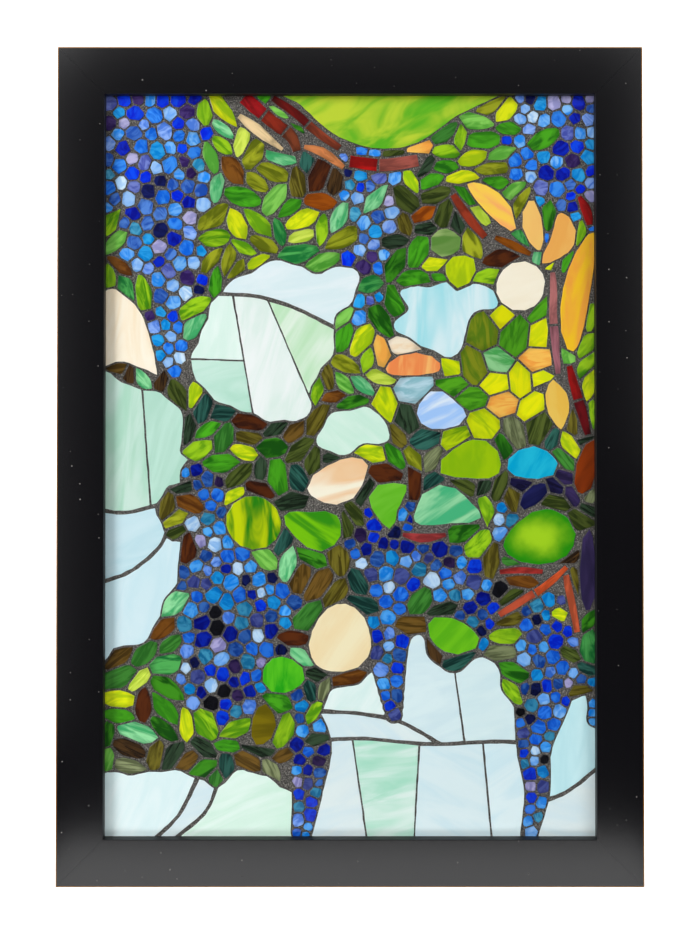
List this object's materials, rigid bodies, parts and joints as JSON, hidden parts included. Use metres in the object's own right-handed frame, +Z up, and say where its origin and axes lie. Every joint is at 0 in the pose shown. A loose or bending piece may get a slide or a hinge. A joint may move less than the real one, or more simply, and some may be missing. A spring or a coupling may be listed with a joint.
{
  "type": "mosaic glass suncatcher",
  "caption": "Framed panel of coloured glass mosaic on clear glass, a grapevine against a pale sky, grouted and held in a black mitred wooden frame, to hang on a wall or in a window.",
  "frame": {"origin": "middle of the back face of the top rail, where the frame rests on its wall or takes its hooks", "axes": "+Z up, +X to the right of someone looking at the picture, the picture faces -Y and the back of the frame is the plane y = 0"},
  "size_m": [0.5904, 0.022, 0.8445],
  "materials": {
    "amber_glass": "opalescent amber, streaked",
    "blue_glass": "streaky blue",
    "cream_glass": "opalescent cream",
    "black_lacquered_frame": "satin black lacquer",
    "clear_sheet_glass": "polished clear float glass",
    "cement_grout": "sanded, dark grey",
    "hill_glass": "streaky light green and yellow",
    "leaf_glass": "streaky green",
    "plum_glass": "dark plum",
    "rust_glass": "streaky rust",
    "sky_glass": "opalescent, pale blue and green streaks"
  },
  "bodies": {
    "root": {"amber_bar": "amber_glass", "amber_bow": "amber_glass", "amber_drop": "amber_glass", "amber_edge": "amber_glass", "amber_spear": "amber_glass", "amber_top": "amber_glass", "blue_cyan": "blue_glass", "blue_pale": "blue_glass", "cream_beige": "cream_glass", "cream_corner": "cream_glass", "cream_disc": "cream_glass", "cream_peach": "cream_glass", "frame_bottom": "black_lacquered_frame", "frame_left": "black_lacquered_frame", "frame_right": "black_lacquered_frame", "frame_top": "black_lacquered_frame", "glass_sheet": "clear_sheet_glass", "grout_bed": "cement_grout", "hill": "hill_glass", "leaf_green_kidney": "leaf_glass", "leaf_green_low": "leaf_glass", "leaf_green_wide": "leaf_glass", "leaf_jade_wide": "leaf_glass", "leaf_lime_round": "leaf_glass", "leaf_lime_top": "leaf_glass", "leaf_lime_wide": "leaf_glass", "leaf_olive_low": "leaf_glass", "leaf_shaded_right": "leaf_glass", "leaf_striped_low": "leaf_glass", "leaf_striped_top": "leaf_glass", "plum_edge": "plum_glass", "plum_slope": "plum_glass", "rust_edge": "rust_glass", "sky_fan_1": "sky_glass", "sky_fan_2": "sky_glass", "sky_fan_3": "sky_glass", "sky_fan_4": "sky_glass", "sky_fan_5": "sky_glass", "sky_left_1": "sky_glass", "sky_left_2": "sky_glass", "sky_left_3": "sky_glass", "sky_left_4": "sky_glass", "sky_low_1": "sky_glass", "sky_low_10": "sky_glass", "sky_low_11": "sky_glass", "sky_low_12": "sky_glass", "sky_low_13": "sky_glass", "sky_low_2": "sky_glass", "sky_low_3": "sky_glass", "sky_low_4": "sky_glass", "sky_low_5": "sky_glass", "sky_low_6": "sky_glass", "sky_low_7": "sky_glass", "sky_low_8": "sky_glass", "sky_low_9": "sky_glass", "sky_middle": "sky_glass", "sky_small": "sky_glass"}
  },
  "joints": []
}
